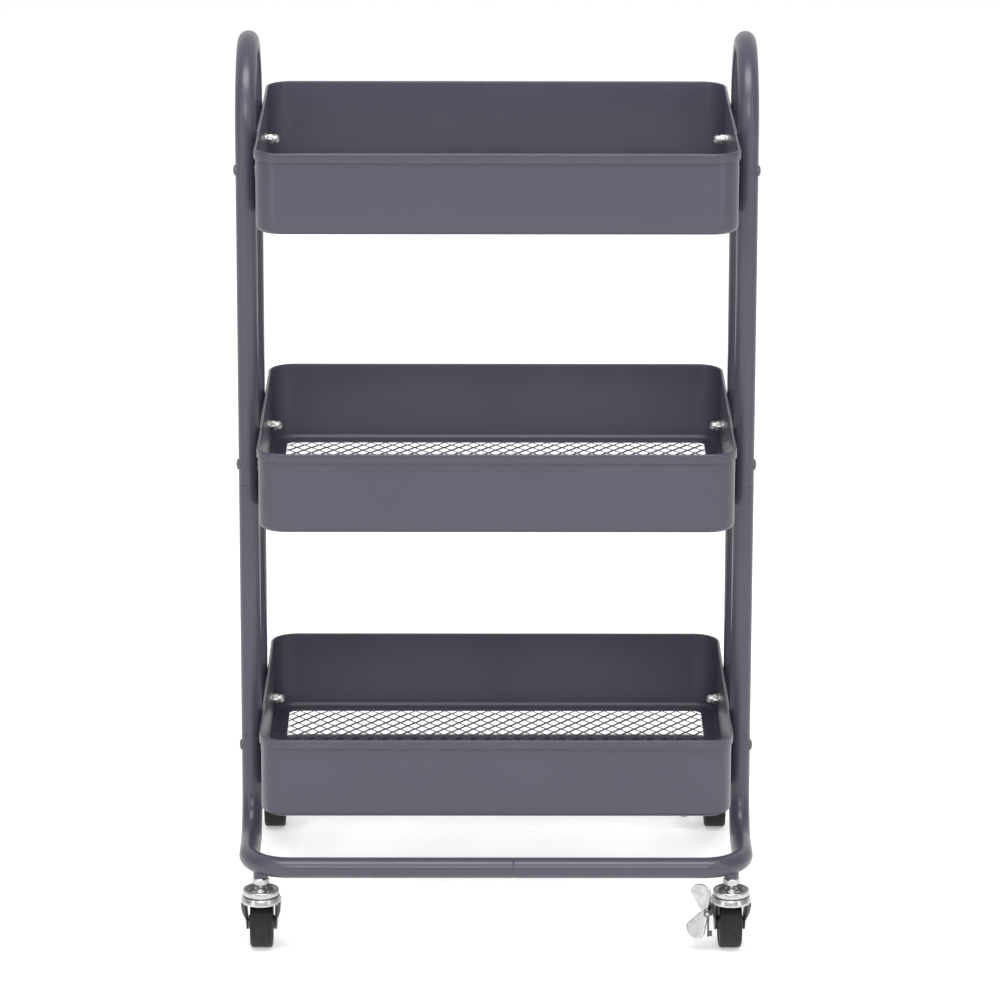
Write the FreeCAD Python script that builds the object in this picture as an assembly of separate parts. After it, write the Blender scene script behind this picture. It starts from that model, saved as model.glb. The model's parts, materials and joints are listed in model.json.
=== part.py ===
"""Rolling utility cart: three mesh-floored trays in a bent tube frame on four swivel casters.

Millimetres. +X is the cart's right, +Y its back, +Z up. The origin is on the floor under the
middle of the cart. The hoops at both ends are the push handles.
"""
import FreeCAD
import Part
import math
import os
from FreeCAD import Vector

os.makedirs("parts", exist_ok=True)

# ---- Frame of round tube -------------------------------------------------------------------
TUBE_OD = 18.0
TUBE_WALL = 1.2
LEG_X = 214.5                 # centreline of the legs, from the middle
LEG_Y = 67.0                  # and of each leg, forward or back
HANDLE_TOP = 780.0            # highest point of the hoops
BAR_Y = 174.0                 # centreline of the front and rear cross bars
BAR_Z = 80.0
FOOT_BEND_R = 40.0            # leg turning forward or back into the base
PLAN_BEND_R = 36.0            # base turning inward into the cross bar
UPPER_SEAM_Z = 395.0          # hoop meets leg tube
LOWER_SEAM_Z = 168.5          # leg tube meets base tube
BAR_SEAM_X = 15.0             # front bar joint; the rear one is on the other side
SLEEVE_REACH = 27.0           # joint sleeves reach this far each side of a seam
SLEEVE_WALL = 1.2

# ---- Trays of pressed sheet ----------------------------------------------------------------
RIM_Z = {"top": 706.0, "middle": 446.0, "bottom": 191.0}
TRAY_HEIGHT = 70.0
TRAY_HALF_X = 203.6           # outside of the wall
TRAY_HALF_Y = 159.7
TRAY_CORNER_R = 23.0
SHEET = 1.0
HEM_HEIGHT = 8.2
HEM_PROUD = 1.4
HEM_ROUND = 1.0
FLOOR_BEND_R = 5.0            # wall turning into the floor flange, outside radius
FLANGE = 15.0                 # floor flange, measured from the outside of the wall
MESH_PITCH_X = 13.3
MESH_PITCH_Y = 18.5
STRAND = 1.5
MESH_THICK = 1.2
MESH_LAP = 6.0                # solid edge of the floor panel welded under the flange

# ---- Tray fasteners ------------------------------------------------------------------------
BOLT_DROP = 33.6              # bolts below the rim
BOLT_D = 5.0
BOLT_HOLE_D = 5.6
HEAD_D = 9.6
HEAD_RISE = 2.0
SEAT_DEPTH = 1.5              # bolt heads and saddles are shaped to the tube this deep
SADDLE_D = 13.0
NUT_FLATS = 8.0               # cap nuts inside the trays
NUT_H = 5.2                   # their hexagon, and the whole nut with its dome
CAP_H = 11.2
CAP_R = 3.7
THREAD_IN_NUT = 8.0
WASHER_D = 10.0
WASHER_T = 1.0

# ---- Casters -------------------------------------------------------------------------------
WHEEL_R = 22.0
TYRE_W = 19.5
SHOULDER = 2.6                # round of the tyre's edges
TRAIL = 13.0                  # axle behind the swivel stem
STEM_D = 8.0
SOCKET_D = 13.0
SOCKET_LOW_Z = 67.6
SOCKET_TOP_Z = 84.0
SOCKET_END = 2.0              # closed end of the socket above the stem
LOCKNUT_FLATS = 13.0
LOCKNUT_H = 6.0
BOSS_R = 5.6                  # collar of the stem where it enters the dish
DISH_R = 15.8
DISH_RIM_Z = 57.5
DISH_RIM_W = 2.0              # rolled rim round the hollow of the dish
DISH_FLOOR_Z = 54.8
DISH_CHAMFER = 0.8
RING_R = 17.5
RING_LOW_Z = 45.6
RING_BAND = 2.2               # straight part of the ring, below its cone
RING_TOP_Z = 51.6
RING_TOP_R = 15.8
RING_LIP_R = 12.2             # inner edge of the ring's top
CROWN_R = 14.6
CROWN_LOW_Z = 46.2
CROWN_TOP_Z = 49.2
RACE_R = 9.4                  # circle of the ball centres
RACE_HALF = 1.2               # half the width of the track under the dish
BALL_D = 2.4
BALL_COUNT = 16
KINGPIN_HEAD = 1.4            # riveted head stands this far past the pin, and is 1 mm thick
KINGPIN_HEAD_T = 1.0
RUN_FIT = 0.05                # radial clearance of a running pin in its hole
GAP = 0.4                     # free air between parts that turn past each other
AXLE_D = 6.0
AXLE_HALF = 14.3
HUB_R = 17.0
HUB_RIM_INSET = 0.8           # hub rim inside the tyre's side, and web inside the rim
HUB_WEB_INSET = 1.4
HUB_BOSS_R = 6.2
HUB_BOSS_HALF = 11.3
FORK_INNER_HALF = 11.7        # fork legs at the axle
FORK_OUTER_HALF = 13.4
FORK_TOP_INNER = 12.4         # and where they leave the crown
FORK_TOP_OUTER = 17.2
FORK_MID_INNER = 12.2         # and between the two
FORK_MID_OUTER = 16.5
FORK_MID_Z = 36.5
FORK_KNEE_RISE = 4.0          # straight end of the legs starts this far above the axle
FORK_END_R = 6.5
FORK_TOP_FRONT_Y = -9.5
FORK_TOP_BACK_Y = 12.5
WEB_LAP = 1.0                 # leg and crown run this far into each other

# ---- Brake rocker of two casters, in the caster's own frame with its stem at x = y = 0 ------
PIVOT_X = -21.2
PIVOT_Y = 0.0
PIVOT_Z = 37.0
PIVOT_PIN_D = 3.0
PIN_HEAD = 0.8                # pin stands this far out of each ear
BARREL_R = 3.0
BARREL_HALF = 6.0
EAR_GAP = 0.4
EAR_T = 1.5
BRACKET_X = -17.9             # outer face of the bracket's plate
BRACKET_T = 1.2
BRACKET_LOW = 1.5             # plate reaches this far below and above the hinge line
BRACKET_RISE = 5.5
SEAT_FRONT_Y = -1.5           # the thicker part that lies against the fork leg starts here
SEAT_T = 5.5
LEVER_T = 1.6
LEVER_TURN_DEG = 35.0         # the pedals face outward and forward
UPPER_LEAN_DEG = 12.0         # and lean away from the wheel
LOWER_LEAN_DEG = 28.0
UPPER_LOBE_R = 10.0
UPPER_LOBE_REACH = 17.0
UPPER_LOBE_TIP = 9.0          # round end beyond the reach
LOWER_LOBE_R = 9.5
LOWER_LOBE_REACH = 18.5
LOWER_LOBE_TIP = 7.6
NECK_HALF = 3.6
TONGUE_W = 3.0
TONGUE_OUT = 0.4              # outer face of the tongue, inward of the hinge line
TONGUE_DROP = 21.5
STUB_T = 2.6                  # stub at the tongue's end that meets the tyre
STUB_D = 5.0

X_AXIS = Vector(1, 0, 0)
Y_AXIS = Vector(0, 1, 0)
Z_AXIS = Vector(0, 0, 1)
ORIGIN = Vector(0, 0, 0)
CLOSE = 0.01                  # lengths nearer than this count as equal
UPRIGHT = 0.9                 # least Z of the direction of an upright edge
SIDES = {"left": -1, "right": 1}
ENDS = {"front": -1, "rear": 1}

TUBE_R = TUBE_OD / 2
TUBE_BORE_R = TUBE_R - TUBE_WALL
ARCH_Z = HANDLE_TOP - TUBE_R - LEG_Y
STEM_SET_IN = PLAN_BEND_R * (1 - math.sqrt(0.5))
STEM_X = LEG_X - STEM_SET_IN
STEM_Y = BAR_Y - STEM_SET_IN


def save(name, *solids):
    """Write one node; several solids are kept as separate solids of one group."""
    shape = solids[0] if len(solids) == 1 else Part.makeCompound(list(solids))
    shape.exportStep("parts/" + name + ".step")


def rod(radius, start, end):
    """Cylinder between two points."""
    along = end - start
    return Part.makeCylinder(radius, along.Length, start, along)


def hex_prism(flats, height, base, axis):
    """Hexagon of the given size across flats, standing on base along axis."""
    corner = flats / math.sqrt(3)
    points = []
    for step in range(7):
        angle = math.radians(60 * step)
        points.append(Vector(corner * math.cos(angle), corner * math.sin(angle), 0))
    prism = Part.Face(Part.makePolygon(points)).extrude(Vector(0, 0, height))
    prism.Placement = FreeCAD.Placement(base, FreeCAD.Rotation(Z_AXIS, axis))
    return prism


def rounded_plate(half_x, half_y, corner, z_low, height):
    """Upright prism with a rounded-rectangle outline."""
    box = Part.makeBox(2 * half_x, 2 * half_y, height, Vector(-half_x, -half_y, z_low))
    upright = [edge for edge in box.Edges if abs(edge.tangentAt(0).z) > UPRIGHT]
    return box.makeFillet(corner, upright)


def arc_between(start, middle, end):
    """Edge of the circle through three points."""
    return Part.Arc(start, middle, end).toShape()


def swept_tube(edges, outer_r, bore_r):
    """Round tube along a path of straight and arc edges."""
    path = Part.Wire(edges)
    start = edges[0].valueAt(edges[0].FirstParameter)
    heading = edges[0].tangentAt(edges[0].FirstParameter)
    solids = []
    for radius in (outer_r, bore_r):
        ring = Part.Wire(Part.makeCircle(radius, start, heading))
        solids.append(path.makePipeShell([ring], True, True))
    return solids[0].cut(solids[1])


def bolt_points(tray):
    """Where a tray's four bolt axes cross the planes of the legs."""
    level = RIM_Z[tray] - BOLT_DROP
    return [Vector(sx * LEG_X, sy * LEG_Y, level) for sx in (-1, 1) for sy in (-1, 1)]


def bolt_holes():
    """Every tray bolt hole, as cutters that pass through the legs and the tray walls."""
    cutters = []
    for tray in RIM_Z:
        for point in bolt_points(tray):
            reach = X_AXIS * 2 * TUBE_OD
            cutters.append(rod(BOLT_HOLE_D / 2, point - reach, point + reach))
    return cutters


# ---- Frame ---------------------------------------------------------------------------------
def build_hoop(side):
    """Push handle and both upper legs on one end of the cart, in one bent tube."""
    x = SIDES[side] * LEG_X
    foot_front = Vector(x, -LEG_Y, UPPER_SEAM_Z)
    spring_front = Vector(x, -LEG_Y, ARCH_Z)
    crown = Vector(x, 0, ARCH_Z + LEG_Y)
    spring_rear = Vector(x, LEG_Y, ARCH_Z)
    foot_rear = Vector(x, LEG_Y, UPPER_SEAM_Z)
    edges = [Part.makeLine(foot_front, spring_front),
             arc_between(spring_front, crown, spring_rear),
             Part.makeLine(spring_rear, foot_rear)]
    tube = swept_tube(edges, TUBE_R, TUBE_BORE_R)
    save("hoop_" + side, tube.cut(bolt_holes()))


def build_leg(side, end):
    """Straight tube from the joint under the middle tray to the joint at the bottom tray."""
    x = SIDES[side] * LEG_X
    y = ENDS[end] * LEG_Y
    low = Vector(x, y, LOWER_SEAM_Z)
    high = Vector(x, y, UPPER_SEAM_Z)
    tube = rod(TUBE_R, low, high).cut(rod(TUBE_BORE_R, low, high))
    save("leg_" + end + "_" + side, tube.cut(bolt_holes()))


def bar_seam(end):
    """X of the joint in the front or the rear cross bar."""
    return -ENDS[end] * BAR_SEAM_X


def build_base_tube(side, end):
    """Foot of a leg: down, round into the level, then round inward to the bar's joint."""
    sx = SIDES[side]
    sy = ENDS[end]
    diagonal = math.sqrt(0.5)
    x = sx * LEG_X
    top = Vector(x, sy * LEG_Y, LOWER_SEAM_Z)
    bend_top = Vector(x, sy * LEG_Y, BAR_Z + FOOT_BEND_R)
    bend_mid = Vector(x, sy * (LEG_Y + FOOT_BEND_R * (1 - diagonal)),
                      BAR_Z + FOOT_BEND_R * (1 - diagonal))
    bend_end = Vector(x, sy * (LEG_Y + FOOT_BEND_R), BAR_Z)
    turn_start = Vector(x, sy * (BAR_Y - PLAN_BEND_R), BAR_Z)
    turn_mid = Vector(sx * STEM_X, sy * STEM_Y, BAR_Z)
    turn_end = Vector(sx * (LEG_X - PLAN_BEND_R), sy * BAR_Y, BAR_Z)
    bar_end = Vector(bar_seam(end), sy * BAR_Y, BAR_Z)
    edges = [Part.makeLine(top, bend_top),
             arc_between(bend_top, bend_mid, bend_end),
             Part.makeLine(bend_end, turn_start),
             arc_between(turn_start, turn_mid, turn_end),
             Part.makeLine(turn_end, bar_end)]
    tube = swept_tube(edges, TUBE_R, TUBE_BORE_R)
    socket_hole = rod(SOCKET_D / 2, Vector(turn_mid.x, turn_mid.y, SOCKET_LOW_Z), turn_mid)
    save("base_" + end + "_" + side, tube.cut(bolt_holes() + [socket_hole]))


def sleeve(centre, axis):
    """Short tube that fills the bore at a joint and reaches into both tubes."""
    start = centre - axis * SLEEVE_REACH
    end = centre + axis * SLEEVE_REACH
    return rod(TUBE_BORE_R, start, end).cut(rod(TUBE_BORE_R - SLEEVE_WALL, start, end))


def build_sleeves():
    """Joint sleeves: four upper, four lower and one in each cross bar."""
    for name, seam_z in (("upper", UPPER_SEAM_Z), ("lower", LOWER_SEAM_Z)):
        sleeves = []
        for sx in SIDES.values():
            for sy in ENDS.values():
                blank = sleeve(Vector(sx * LEG_X, sy * LEG_Y, seam_z), Z_AXIS)
                sleeves.append(blank.cut(bolt_holes()))
        save("leg_joint_sleeves_" + name, *sleeves)
    bars = [sleeve(Vector(bar_seam(end), ENDS[end] * BAR_Y, BAR_Z), X_AXIS) for end in ENDS]
    save("bar_joint_sleeves", *bars)


# ---- Trays ---------------------------------------------------------------------------------
def build_tray(tray):
    """Pressed wall with a folded hem at the rim and an inward flange at the floor."""
    rim = RIM_Z[tray]
    low = rim - TRAY_HEIGHT
    outer = rounded_plate(TRAY_HALF_X, TRAY_HALF_Y, TRAY_CORNER_R, low, TRAY_HEIGHT)
    outer = outer.makeFillet(FLOOR_BEND_R, edges_at(outer, low))
    inner = rounded_plate(TRAY_HALF_X - SHEET, TRAY_HALF_Y - SHEET, TRAY_CORNER_R - SHEET,
                          low + SHEET, TRAY_HEIGHT)
    inner = inner.makeFillet(FLOOR_BEND_R - SHEET, edges_at(inner, low + SHEET))
    hem = rounded_plate(TRAY_HALF_X + HEM_PROUD, TRAY_HALF_Y + HEM_PROUD,
                        TRAY_CORNER_R + HEM_PROUD, rim - HEM_HEIGHT, HEM_HEIGHT)
    hem = hem.makeFillet(HEM_ROUND, edges_at(hem, rim))
    window = rounded_plate(TRAY_HALF_X - FLANGE, TRAY_HALF_Y - FLANGE, TRAY_CORNER_R / 2,
                           low - SHEET, TRAY_HEIGHT)
    shell = outer.fuse(hem).cut(inner).cut(window)
    save("tray_" + tray, shell.cut(bolt_holes()).removeSplitter())


def edges_at(shape, level):
    """The outline edges of a prism that lie at one level."""
    found = []
    for edge in shape.Edges:
        box = edge.BoundBox
        if abs(box.ZMin - level) < CLOSE and abs(box.ZMax - level) < CLOSE:
            found.append(edge)
    return found


def mesh_cells(half_x, half_y):
    """Centres of the diamond openings that lie wholly inside the floor window."""
    centres = []
    columns = int(half_x // (MESH_PITCH_X / 2)) + 1
    rows = int(half_y // (MESH_PITCH_Y / 2)) + 1
    for column in range(-columns, columns + 1):
        for row in range(-rows, rows + 1):
            if (column + row) % 2:
                continue
            x = column * MESH_PITCH_X / 2
            y = row * MESH_PITCH_Y / 2
            if abs(x) + MESH_PITCH_X / 2 < half_x and abs(y) + MESH_PITCH_Y / 2 < half_y:
                centres.append((x, y))
    return centres


def mesh_panel():
    """Expanded-metal sheet with its top face at the XY plane: a field of diamond openings."""
    half_x = TRAY_HALF_X - FLANGE
    half_y = TRAY_HALF_Y - FLANGE
    reach = math.hypot(MESH_PITCH_X, MESH_PITCH_Y) / 2
    open_x = MESH_PITCH_X / 2 - STRAND * reach / MESH_PITCH_Y
    open_y = open_x * MESH_PITCH_Y / MESH_PITCH_X
    level = -MESH_THICK
    blank = rounded_plate(half_x + MESH_LAP, half_y + MESH_LAP, TRAY_CORNER_R / 2 + MESH_LAP,
                          level, MESH_THICK)
    underside = min(blank.Faces, key=lambda face: face.CenterOfMass.z)
    wires = [underside.OuterWire]
    for x, y in mesh_cells(half_x, half_y):
        corners = [Vector(x + open_x, y, level), Vector(x, y + open_y, level),
                   Vector(x - open_x, y, level), Vector(x, y - open_y, level)]
        wires.append(Part.makePolygon(corners + corners[:1]))
    sheet = Part.makeFace(wires, "Part::FaceMakerBullseye")
    return sheet.extrude(Z_AXIS * MESH_THICK).Solids[0]


def build_mesh_floors():
    """One panel welded under the floor flange of each tray."""
    panel = mesh_panel()
    for tray, rim in RIM_Z.items():
        save("mesh_floor_" + tray, panel.translated(Z_AXIS * (rim - TRAY_HEIGHT)))


def dome_bolt(tip, under_head, outward):
    """Round-head bolt from its tip to the seat under its head."""
    length = (under_head - tip).Length
    head_r = HEAD_D / 2
    dome_r = head_r ** 2 / (2 * HEAD_RISE) + HEAD_RISE / 2
    half = math.asin(head_r / dome_r) / 2
    shoulder = Vector(dome_r * math.sin(half), 0, length + HEAD_RISE - dome_r * (1 - math.cos(half)))
    top = Vector(0, 0, length + HEAD_RISE)
    rim = Vector(head_r, 0, length)
    corners = [top, ORIGIN, Vector(BOLT_D / 2, 0, 0), Vector(BOLT_D / 2, 0, length), rim]
    edges = [Part.makeLine(start, end) for start, end in zip(corners, corners[1:])]
    edges.append(arc_between(rim, shoulder, top))
    bolt = Part.Face(Part.Wire(edges)).revolve(ORIGIN, Z_AXIS, 360)
    bolt.Placement = FreeCAD.Placement(tip, FreeCAD.Rotation(Z_AXIS, outward))
    return bolt


def cap_nut(face, inward):
    """Hexagon with a domed end, standing on its washer's face."""
    dome_base = CAP_H - CAP_R
    side = math.sqrt(0.5) * CAP_R
    edges = [Part.makeLine(ORIGIN, Vector(CAP_R, 0, 0)),
             Part.makeLine(Vector(CAP_R, 0, 0), Vector(CAP_R, 0, dome_base)),
             arc_between(Vector(CAP_R, 0, dome_base), Vector(side, 0, dome_base + side),
                         Vector(0, 0, CAP_H)),
             Part.makeLine(Vector(0, 0, CAP_H), ORIGIN)]
    cap = Part.Face(Part.Wire(edges)).revolve(ORIGIN, Z_AXIS, 360)
    cap.Placement = FreeCAD.Placement(face, FreeCAD.Rotation(Z_AXIS, inward))
    return hex_prism(NUT_FLATS, NUT_H, face, inward).fuse(cap).removeSplitter()


def saddle_washer(radius, start, end, leg, clearance):
    """Spacer that is flat on one side and hollowed to the tube on the other."""
    return rod(radius, start, end).cut(leg).cut(clearance)


def build_tray_fasteners():
    """Bolts through leg and wall, with saddles on both sides of the tube and a nut inside."""
    groups = {"tray_bolts": [], "tray_nuts": [], "tray_washers": [], "leg_saddles": []}
    for point in [point for tray in RIM_Z for point in bolt_points(tray)]:
        outward = X_AXIS * math.copysign(1.0, point.x)
        leg = rod(TUBE_R, point - Z_AXIS * SADDLE_D, point + Z_AXIS * SADDLE_D)
        wall_out = point + outward * (TRAY_HALF_X - LEG_X)
        wall_in = wall_out - outward * SHEET
        nut_face = wall_in - outward * WASHER_T
        tip = nut_face - outward * THREAD_IN_NUT
        crown = point + outward * TUBE_R
        clearance = rod(BOLT_HOLE_D / 2, tip, crown)
        nut = cap_nut(nut_face, -outward)
        outer_start = crown - outward * SEAT_DEPTH
        inner_end = point - outward * (TUBE_R - SEAT_DEPTH)
        groups["tray_bolts"].append(dome_bolt(tip, crown, outward))
        groups["tray_nuts"].append(nut.cut(rod(BOLT_D / 2, tip, crown)))
        groups["tray_washers"].append(rod(WASHER_D / 2, nut_face, wall_in).cut(clearance))
        groups["leg_saddles"] += [
            saddle_washer(SADDLE_D / 2, wall_out, inner_end, leg, clearance),
            saddle_washer(HEAD_D / 2, outer_start, crown, leg, clearance)]
    for name, solids in groups.items():
        save(name, *solids)


# ---- Casters -------------------------------------------------------------------------------
CASTERS = {
    "front_left": {"at": Vector(-STEM_X, -STEM_Y, 0), "turn": 0.0, "brake": False},
    "front_right": {"at": Vector(STEM_X, -STEM_Y, 0), "turn": 2.0, "brake": True},
    "rear_left": {"at": Vector(-STEM_X, STEM_Y, 0), "turn": 0.0, "brake": False},
    "rear_right": {"at": Vector(STEM_X, STEM_Y, 0), "turn": 0.0, "brake": True},
}
AXLE_AT = Vector(0, TRAIL, WHEEL_R)
PIVOT_AT = Vector(PIVOT_X, PIVOT_Y, PIVOT_Z)


def seated(shape, caster):
    """Move a caster piece from the caster's own frame to its corner of the base."""
    turn = FreeCAD.Rotation(Z_AXIS, caster["turn"])
    placed = shape.copy()
    placed.Placement = FreeCAD.Placement(caster["at"], turn).multiply(shape.Placement)
    return placed


def revolved(points):
    """Solid turned about the Z axis from (radius, height) points."""
    outline = [Vector(radius, 0, height) for radius, height in points]
    face = Part.Face(Part.makePolygon(outline + outline[:1]))
    return face.revolve(ORIGIN, Z_AXIS, 360)


def box_between(low, high):
    """Upright box between two opposite corners."""
    size = high - low
    return Part.makeBox(size.x, size.y, size.z, low)


def caster_socket():
    """Threaded boss set into the underside of the base tube."""
    low = Z_AXIS * SOCKET_LOW_Z
    high = Z_AXIS * SOCKET_TOP_Z
    return rod(SOCKET_D / 2, low, high).cut(rod(STEM_D / 2, low, high - Z_AXIS * SOCKET_END))


def caster_locknut():
    """Hexagon nut run up the stem against the socket."""
    base = Z_AXIS * (SOCKET_LOW_Z - LOCKNUT_H)
    blank = hex_prism(LOCKNUT_FLATS, LOCKNUT_H, base, Z_AXIS)
    blank.rotate(ORIGIN, Z_AXIS, 30)
    return blank.cut(rod(STEM_D / 2, base, Z_AXIS * SOCKET_LOW_Z))


def caster_stem():
    """Stem, its fixed dish over the ball race, and the kingpin below with its riveted head."""
    pin_r = STEM_D / 2
    stem_top = SOCKET_TOP_Z - SOCKET_END
    shelf_z = RING_TOP_Z + GAP
    race_z = CROWN_TOP_Z + BALL_D
    race_out = RACE_R + RACE_HALF
    race_in = RACE_R - RACE_HALF
    root_z = CROWN_TOP_Z + GAP
    head_z = CROWN_LOW_Z - GAP
    head_r = pin_r + KINGPIN_HEAD
    rim_in = DISH_R - DISH_CHAMFER - DISH_RIM_W
    return revolved([
        (0, stem_top), (pin_r, stem_top),
        (pin_r, DISH_RIM_Z + DISH_CHAMFER), (BOSS_R, DISH_RIM_Z - DISH_CHAMFER),
        (BOSS_R + DISH_CHAMFER, DISH_FLOOR_Z), (rim_in - DISH_CHAMFER, DISH_FLOOR_Z),
        (rim_in, DISH_RIM_Z), (DISH_R - DISH_CHAMFER, DISH_RIM_Z),
        (DISH_R, DISH_RIM_Z - DISH_CHAMFER), (DISH_R, shelf_z + DISH_CHAMFER),
        (DISH_R - DISH_CHAMFER, shelf_z), (race_out, shelf_z), (race_out, race_z),
        (race_in, race_z), (race_in - RACE_HALF, root_z), (pin_r, root_z),
        (pin_r, head_z), (head_r, head_z), (pin_r, head_z - KINGPIN_HEAD_T),
        (0, head_z - KINGPIN_HEAD_T)])


def race_balls():
    """Ring of balls under the dish, just clear of the crown that turns beneath them."""
    balls = []
    radius = (BALL_D - GAP) / 2
    for step in range(BALL_COUNT):
        angle = 2 * math.pi * step / BALL_COUNT
        level = CROWN_TOP_Z + GAP + radius
        centre = Vector(RACE_R * math.cos(angle), RACE_R * math.sin(angle), level)
        balls.append(Part.makeSphere(radius, centre))
    return balls


def raceway_ring():
    """Plated ring round the fork's crown, lipped over its top edge."""
    return revolved([
        (CROWN_R, RING_LOW_Z), (RING_R, RING_LOW_Z), (RING_R, RING_LOW_Z + RING_BAND),
        (RING_TOP_R + DISH_CHAMFER, RING_TOP_Z - DISH_CHAMFER), (RING_TOP_R, RING_TOP_Z),
        (RING_LIP_R, RING_TOP_Z), (RING_LIP_R, CROWN_TOP_Z), (CROWN_R, CROWN_TOP_Z)])


def fork_side_view():
    """Both legs seen from the side: broad at the crown, round at the axle behind it."""
    top = CROWN_LOW_Z + WEB_LAP
    toe = AXLE_AT - Y_AXIS * FORK_END_R
    heel = AXLE_AT + Y_AXIS * FORK_END_R
    front = Vector(0, FORK_TOP_FRONT_Y, top)
    back = Vector(0, FORK_TOP_BACK_Y, top)
    outline = Part.Wire([Part.makeLine(front, toe),
                         arc_between(toe, AXLE_AT - Z_AXIS * FORK_END_R, heel),
                         Part.makeLine(heel, back), Part.makeLine(back, front)])
    blank = Part.Face(outline).extrude(X_AXIS * 2 * FORK_TOP_OUTER)
    return blank.translated(X_AXIS * -FORK_TOP_OUTER)


def fork_leg(sx):
    """One leg seen from the front: it draws in from the ring's edge to the axle."""
    low = WHEEL_R - 2 * FORK_END_R
    knee = WHEEL_R + FORK_KNEE_RISE
    outer = [Vector(sx * FORK_TOP_OUTER, 0, RING_LOW_Z), Vector(sx * FORK_MID_OUTER, 0, FORK_MID_Z),
             Vector(sx * FORK_OUTER_HALF, 0, knee), Vector(sx * FORK_OUTER_HALF, 0, low)]
    inner = [Vector(sx * FORK_TOP_INNER, 0, RING_LOW_Z), Vector(sx * FORK_MID_INNER, 0, FORK_MID_Z),
             Vector(sx * FORK_INNER_HALF, 0, knee), Vector(sx * FORK_INNER_HALF, 0, low)]
    edges = [Part.makeLine(inner[0], outer[0]), arc_between(*outer[:3]),
             Part.makeLine(outer[2], outer[3]), Part.makeLine(outer[3], inner[3]),
             Part.makeLine(inner[3], inner[2]), arc_between(*reversed(inner[:3]))]
    slab = Part.Face(Part.Wire(edges)).extrude(Y_AXIS * 4 * TRAIL)
    slab.translate(Y_AXIS * -TRAIL)
    return slab.common(fork_side_view())


def caster_fork():
    """Crown disc on the kingpin and the two legs."""
    crown = rod(CROWN_R, Z_AXIS * CROWN_LOW_Z, Z_AXIS * CROWN_TOP_Z)
    webs = []
    for sx in (-1, 1):
        near, far = sorted((sx * FORK_TOP_INNER, sx * CROWN_R))
        web = box_between(Vector(near, FORK_TOP_FRONT_Y, RING_LOW_Z - WEB_LAP),
                          Vector(far, FORK_TOP_BACK_Y, CROWN_LOW_Z + WEB_LAP))
        webs.append(web.common(rod(CROWN_R, ORIGIN, Z_AXIS * CROWN_TOP_Z)))
    body = crown.fuse(webs + [fork_leg(-1), fork_leg(1)]).removeSplitter()
    kingpin_hole = rod(STEM_D / 2 + RUN_FIT, ORIGIN, Z_AXIS * CROWN_TOP_Z)
    axle_hole = rod(AXLE_D / 2, AXLE_AT - X_AXIS * RING_R, AXLE_AT + X_AXIS * RING_R)
    return body.cut([kingpin_hole, axle_hole])


def on_axle(points):
    """Turned piece about the axle, from (radius, distance along it) points."""
    solid = revolved(points)
    solid.Placement = FreeCAD.Placement(AXLE_AT, FreeCAD.Rotation(Z_AXIS, X_AXIS))
    return solid


def caster_axle():
    """Plain pin held by both legs."""
    return rod(AXLE_D / 2, AXLE_AT - X_AXIS * AXLE_HALF, AXLE_AT + X_AXIS * AXLE_HALF)


def caster_hub():
    """Hub with a running bore, dished webs and a boss on each side."""
    bore = AXLE_D / 2 + RUN_FIT
    rim = TYRE_W / 2 - HUB_RIM_INSET
    web = rim - HUB_WEB_INSET
    rim_r = HUB_R - 2 * HUB_RIM_INSET
    web_r = rim_r - HUB_WEB_INSET
    return on_axle([
        (bore, -HUB_BOSS_HALF), (HUB_BOSS_R, -HUB_BOSS_HALF), (HUB_BOSS_R, -web),
        (web_r, -web), (rim_r, -rim), (HUB_R, -rim), (HUB_R, rim), (rim_r, rim),
        (web_r, web), (HUB_BOSS_R, web), (HUB_BOSS_R, HUB_BOSS_HALF), (bore, HUB_BOSS_HALF)])


def caster_tyre():
    """Plain tyre with rounded shoulders, on the hub's rim."""
    half = TYRE_W / 2
    band = on_axle([(HUB_R, -half), (WHEEL_R, -half), (WHEEL_R, half), (HUB_R, half)])
    shoulders = []
    for edge in band.Edges:
        box = edge.BoundBox
        if abs(box.ZLength - 2 * WHEEL_R) < CLOSE and box.XLength < CLOSE:
            shoulders.append(edge)
    return band.makeFillet(SHOULDER, shoulders)


def along_hinge(half_length):
    """End points of a length of the rocker's hinge line."""
    return PIVOT_AT - Y_AXIS * half_length, PIVOT_AT + Y_AXIS * half_length


EAR_OUT = BARREL_HALF + EAR_GAP + EAR_T   # outer face of each ear, from the middle of the hinge


def brake_pin():
    """Hinge pin of the rocker, held by the bracket's ears."""
    return rod(PIVOT_PIN_D / 2, *along_hinge(EAR_OUT + PIN_HEAD))


def brake_bracket():
    """Plate seated on the outside of the fork leg, with an ear at each end of the rocker."""
    low_z = PIVOT_Z - BRACKET_LOW
    high_z = PIVOT_Z + BRACKET_RISE
    pieces = [box_between(Vector(BRACKET_X, PIVOT_Y - EAR_OUT, low_z),
                          Vector(BRACKET_X + BRACKET_T, PIVOT_Y + EAR_OUT, high_z)),
              box_between(Vector(BRACKET_X, SEAT_FRONT_Y, low_z),
                          Vector(BRACKET_X + SEAT_T, PIVOT_Y + EAR_OUT, high_z))]
    for y_low in (PIVOT_Y - EAR_OUT, PIVOT_Y + EAR_OUT - EAR_T):
        end = Vector(PIVOT_X, y_low, PIVOT_Z)
        pieces.append(rod(BARREL_R, end, end + Y_AXIS * EAR_T))
        pieces.append(box_between(end - Z_AXIS * BRACKET_LOW,
                                  Vector(BRACKET_X + BRACKET_T, y_low + EAR_T, PIVOT_Z + BARREL_R)))
    whole = pieces[0].fuse(pieces[1:]).cut([caster_fork(), raceway_ring()])
    bracket = min(whole.Solids, key=lambda solid: solid.CenterOfMass.x)
    return bracket.cut(rod(PIVOT_PIN_D / 2, *along_hinge(2 * EAR_OUT)))


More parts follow.
